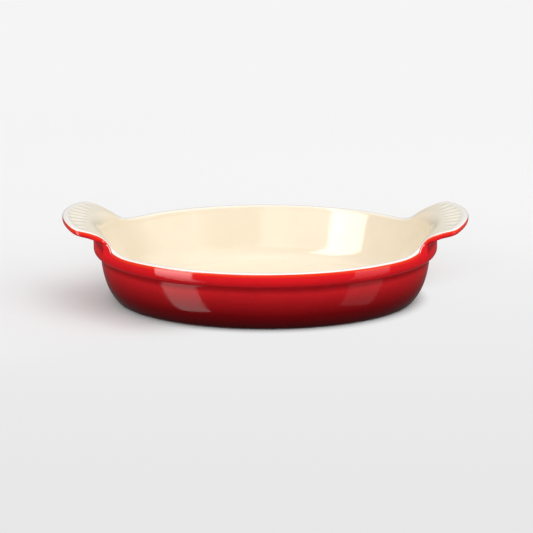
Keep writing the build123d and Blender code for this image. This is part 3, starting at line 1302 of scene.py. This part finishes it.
@dataclass
class GlazeCoats:
    """Cream coat inside and red coat outside, both closed shells."""

    grid: SkinGrid
    flutes: FluteFan = FluteFan()
    cream: Finish = CreamGlaze()
    red: Finish = RedGlaze()

    def build_cream(self) -> bpy.types.Object:
        """Coat over the inside, the rim and the handle tops."""
        grid, last = self.grid, self.grid.line_row + 1
        columns = grid.outside.shape[1]
        draft = MeshDraft.empty(Mark.LINE, Mark.EDGE, Mark.REACH)
        marks = {"LINE": grid.line[:last], "EDGE": grid.edge[:last], "REACH": grid.reach[:last]}
        above, below = draft.shell(grid.outside[:last], grid.inside[:last], **marks)
        floor, far = grid.skin.floor_height, float(grid.line[0].mean())
        draft.cap(floor, above, columns, LINE=far)
        draft.cap(floor - grid.skin.glaze_thickness, below, columns, flip=True, LINE=far)
        rim = (last - 1) * columns
        draft.bridge(above + rim, below + rim, columns)
        piece = draft.make("cream_glaze_coat")
        self.flutes.press(piece, self.cream.make())
        settle(piece, "interior_glaze")
        return piece

    def build_red(self) -> bpy.types.Object:
        """Coat over the collar, the wall and the edges and undersides of the handles."""
        grid, first = self.grid, self.grid.line_row
        rows, columns = grid.outside[first:].shape[:2]
        draft = MeshDraft.empty(Mark.LINE, Mark.POOL, Mark.BARE)
        # Marks for the painted shade under the handles and for the white neck line
        marks = {"LINE": grid.line[first:], "POOL": grid.pool[first:], "BARE": grid.break_glint[first:]}
        above, below = draft.shell(grid.outside[first:], grid.inside[first:], **marks)
        draft.bridge(below, above, columns)
        foot = (rows - 1) * columns
        draft.bridge(above + foot, below + foot, columns)
        piece = draft.make("red_glaze_coat")
        piece.data.materials.append(self.red.make())
        settle(piece, "exterior_glaze")
        return piece


@dataclass
class ClayBody:
    """The fired casting under the glaze, unglazed on its foot ring."""

    grid: SkinGrid
    flutes: FluteFan = FluteFan()
    clay: FiredClay = FiredClay()
    foot_round: float = 0.5
    ceiling_rings: tuple[float, ...] = (0.97, 0.8, 0.6, 0.4, 0.2)

    def build(self) -> bpy.types.Object:
        """Makes the casting with its foot ring and the recess inside it."""
        grid, skin = self.grid, self.grid.skin
        rows, columns = grid.inside.shape[:2]
        soft, ring_end = self.foot_round, skin.foot_inset + skin.foot_width
        ceiling = skin.recess_depth + skin.glaze_thickness
        section = [(skin.foot_inset + soft * (1 - math.cos(angle)), soft * (1 - math.sin(angle)))
                   for angle in np.radians((0, 30, 60, 90))]
        section += [(skin.foot_inset + skin.foot_width / 2, 0.0)]
        section += [(ring_end - soft * (1 - math.sin(angle)), soft * (1 - math.cos(angle)))
                    for angle in np.radians((0, 30, 60, 90))]
        section += [(ring_end, (soft + ceiling) / 2), (ring_end, ceiling)]
        lower = skin.rings(section, self.ceiling_rings)
        draft = MeshDraft.empty(Mark.EDGE, Mark.REACH)
        body = draft.add(grid.inside, EDGE=grid.edge, REACH=grid.reach)
        under = draft.add(lower)
        draft.sheet(body, rows, columns)
        draft.join(under - columns, under, columns)
        draft.sheet(under, len(lower), columns)
        draft.cap(skin.floor_height - skin.glaze_thickness, body, columns)
        draft.cap(ceiling, under + (len(lower) - 1) * columns, columns, flip=True)
        piece = draft.make("stoneware_casting")
        self.flutes.press(piece, self.clay.make())
        settle(piece, "stoneware_body")
        return piece


@dataclass
class BaseCoat:
    """Thin coat in the recess, inside the foot ring, with a small meniscus at its edge."""

    skin: DishSkin
    glaze: Finish = BaseGlaze()
    meniscus: float = 0.5
    meniscus_steps: tuple[Pair, ...] = ((0.0, 1.0), (0.12, 0.75), (0.4, 0.35), (0.9, 0.1), (1.8, 0.0))
    rings: tuple[float, ...] = (0.9, 0.7, 0.5, 0.3, 0.12)

    def build(self) -> bpy.types.Object:
        """Makes the coat as a closed disc."""
        skin = self.skin
        ring_end = skin.foot_inset + skin.foot_width
        low, high = skin.recess_depth, skin.recess_depth + skin.glaze_thickness
        section = [(ring_end, high)]
        section += [(ring_end + reach, low - dip * self.meniscus) for reach, dip in self.meniscus_steps]
        loops = skin.rings(section, self.rings)
        rows, columns = loops.shape[:2]
        draft = MeshDraft.empty()
        first = draft.add(loops)
        draft.sheet(first, rows, columns)
        draft.cap(low, first + (rows - 1) * columns, columns, flip=True)
        draft.cap(high, first, columns)
        draft.keep_sharp(columns, first, first + columns)
        piece = draft.make("base_recess_coat")
        piece.data.materials.append(self.glaze.make())
        settle(piece, "base_glaze")
        return piece


# Studio


@dataclass(frozen=True)
class SoftBox:
    """One rectangular studio lamp that faces a point."""

    name: str
    place: Triple
    target: Triple
    size: tuple[float, float]
    radiance: float
    mirrored_only: bool = False

    def build(self) -> bpy.types.Object:
        """Makes the lamp."""
        lamp = bpy.data.lights.new(self.name, "AREA")
        lamp.shape = "RECTANGLE"
        lamp.size, lamp.size_y = self.size
        lamp.energy = self.radiance * math.pi * self.size[0] * self.size[1]
        holder = add_object(self.name, lamp)
        holder.location = self.place
        aim = Vector(self.target) - Vector(self.place)
        holder.rotation_euler = aim.to_track_quat("-Z", "Y").to_euler()
        holder.visible_camera = False
        holder.visible_diffuse = not self.mirrored_only
        return holder


@dataclass
class Studio:
    """Pale sweep, soft lamps and the camera."""

    camera_place: Triple = (0.0009, -1.5468, 0.4983)
    camera_tilt: float = 17.0
    lens: float = 137.3
    sensor: float = 36.0
    clip_end: float = 20.0
    sweep_front: float = -2.6
    sweep_back: float = 1.4
    sweep_radius: float = 0.8
    sweep_height: float = 2.6
    sweep_half: float = 3.0
    floor_shade: Triple = shade(231, 231, 231)
    back_shade: Triple = shade(245, 245, 245)
    dish_shares: Triple = (1 / 0.115, 1 / 0.08, 0.0)
    shadow_lift: float = 0.18
    lit_lift: float = 0.8
    outer_lift: float = 0.4
    lit_slant: float = 1.6
    lit_span: Pair = (0.0, 0.11)
    near_span: Pair = (1.01, 1.16)
    outer_span: Pair = (1.3, 2.0)
    far_span: Pair = (0.1, 0.9)
    paper_span: Pair = (-0.55, 0.5)
    fibre_scale: float = 300.0
    fibre_strength: float = 0.02
    world_level: float = 0.58
    mirrored_level: float = 0.14

    def build_sweep(self) -> bpy.types.Object:
        """Floor that curves up into the backdrop."""
        line = [(self.sweep_front, 0.0), (self.sweep_back, 0.0)]
        for angle in np.radians(np.linspace(0, 90, 25)[1:]):
            line.append((self.sweep_back + self.sweep_radius * math.sin(angle),
                         self.sweep_radius * (1 - math.cos(angle))))
        line.append((line[-1][0], self.sweep_height))
        points = [(side * self.sweep_half, y, z) for y, z in line for side in (-1, 1)]
        faces = [(2 * k, 2 * k + 1, 2 * k + 3, 2 * k + 2) for k in range(len(line) - 1)]
        mesh = bpy.data.meshes.new("sweep")
        mesh.from_pydata(points, [], faces)
        mesh.polygons.foreach_set("use_smooth", np.ones(len(faces), bool))
        mesh.update()
        sweep = add_object("sweep", mesh)
        mesh.materials.append(self.sweep_material())
        sweep.visible_glossy = False
        return sweep

    def sweep_material(self) -> bpy.types.Material:
        """Matt pale paper that gets lighter towards the back, where it no longer holds a shadow.

        The camera sees it glow a little past the dish's foot, more on the lit side, more
        again further out, and wholly at the back, because the photograph's shadow is faint.
        """
        material, book, output = new_material("sweep_paper")
        place = book.wire("ShaderNodeTexCoord", out="Object")
        side, depth = book.axis(place, 0), book.axis(place, 1)
        fibre = (book.noise(place, self.fibre_scale, 3.0) - 0.5) * self.fibre_strength
        paleness = book.smooth(depth, *self.paper_span) + fibre
        colour = book.blend(paleness, self.floor_shade, self.back_shade)
        paper = book.wire("ShaderNodeBsdfPrincipled", None, {
            "Base Color": colour, "Roughness": 0.9, "Specular IOR Level": 0.1})
        ray = book.node("ShaderNodeLightPath")
        seen = Wire(book, ray.outputs["Is Camera Ray"])
        scaled = book.wire("ShaderNodeVectorMath", {"operation": "MULTIPLY"}, {0: place, 1: self.dish_shares})
        from_dish = book.wire("ShaderNodeVectorMath", {"operation": "LENGTH"}, {0: scaled}, "Value")
        lit_side = book.smooth(side - depth * self.lit_slant, *self.lit_span)
        near = book.smooth(from_dish, *self.near_span) * (self.shadow_lift + lit_side * self.lit_lift)
        outer = book.smooth(from_dish, *self.outer_span) * self.outer_lift
        far = book.smooth(depth, *self.far_span)
        kept = (1.0 - near) * (1.0 - outer) * (1.0 - far)
        glow = book.wire("ShaderNodeEmission", None, {"Color": colour, "Strength": 1.0})
        mixed = book.wire("ShaderNodeMixShader", None, {0: seen * (1.0 - kept), 1: paper, 2: glow})
        book.tree.links.new(mixed.socket, output.inputs[0])
        return material

    def build_world(self) -> None:
        """Even pale surroundings, dimmer where the glaze mirrors them."""
        world = bpy.data.worlds.new("studio")
        bpy.context.scene.world = world
        world.use_nodes = True
        world.node_tree.nodes.clear()
        book = NodeBook(world.node_tree)
        white = as_colour((1.0, 1.0, 1.0))
        even = book.wire("ShaderNodeBackground", None, {"Color": white, "Strength": self.world_level})
        dim = book.wire("ShaderNodeBackground", None, {"Color": white, "Strength": self.mirrored_level})
        mirrored = Wire(book, book.node("ShaderNodeLightPath").outputs["Is Glossy Ray"])
        mixed = book.wire("ShaderNodeMixShader", None, {0: mirrored, 1: even, 2: dim})
        book.node("ShaderNodeOutputWorld", None, {0: mixed})

    def build_lamps(self) -> list[bpy.types.Object]:
        """Broad key from the right, a top, a front fill, and windows that only the glaze mirrors.

        The two low ones stand for the windows as a shiny table top mirrors them.
        """
        boxes = (
            SoftBox("key_right", (1.7, -0.9, 1.7), (0.0, 0.0, 0.02), (2.4, 2.4), 1.2),
            SoftBox("top", (0.0, 0.2, 1.8), (0.0, 0.0, 0.0), (1.6, 1.2), 1.2),
            SoftBox("fill_front", (-0.9, -2.2, 1.3), (0.0, 0.0, 0.03), (2.2, 1.4), 2.1),
            SoftBox("window_left", (-0.974, -0.861, 1.4), (0.0, 0.0, 1.4), (0.57, 2.2), 9.0, True),
            SoftBox("window_left_low", (-0.99, -0.843, -0.83), (0.0, 0.0, -0.83), (0.55, 1.56), 6.0, True),
            SoftBox("window_right_low", (1.12, -0.65, -0.66), (0.0, 0.0, -0.66), (0.58, 1.0), 1.4, True),
        )
        return [box.build() for box in boxes]

    def build_camera(self) -> bpy.types.Object:
        """Camera at the photograph's place."""
        camera = bpy.data.cameras.new("camera")
        camera.lens = self.lens
        camera.sensor_width = self.sensor
        camera.clip_end = self.clip_end
        holder = add_object("camera", camera)
        holder.location = self.camera_place
        holder.rotation_euler = (math.radians(90 - self.camera_tilt), 0.0, 0.0)
        bpy.context.scene.camera = holder
        return holder

    def build(self) -> None:
        """Makes everything around the dish."""
        self.build_sweep()
        self.build_world()
        self.build_lamps()
        self.build_camera()
        bpy.context.scene.view_settings.view_transform = "Standard"


def main() -> None:
    """Builds the dish and the studio in order."""
    logging.basicConfig(level=logging.INFO)
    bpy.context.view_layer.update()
    grid = DishSkin().build()
    LOG.info("skin grid: %d rows, %d columns", *grid.outside.shape[:2])
    ClayBody(grid).build()
    coats = GlazeCoats(grid)
    coats.build_cream()
    coats.build_red()
    BaseCoat(grid.skin).build()
    Studio().build()


if __name__ == "__main__":
    main()
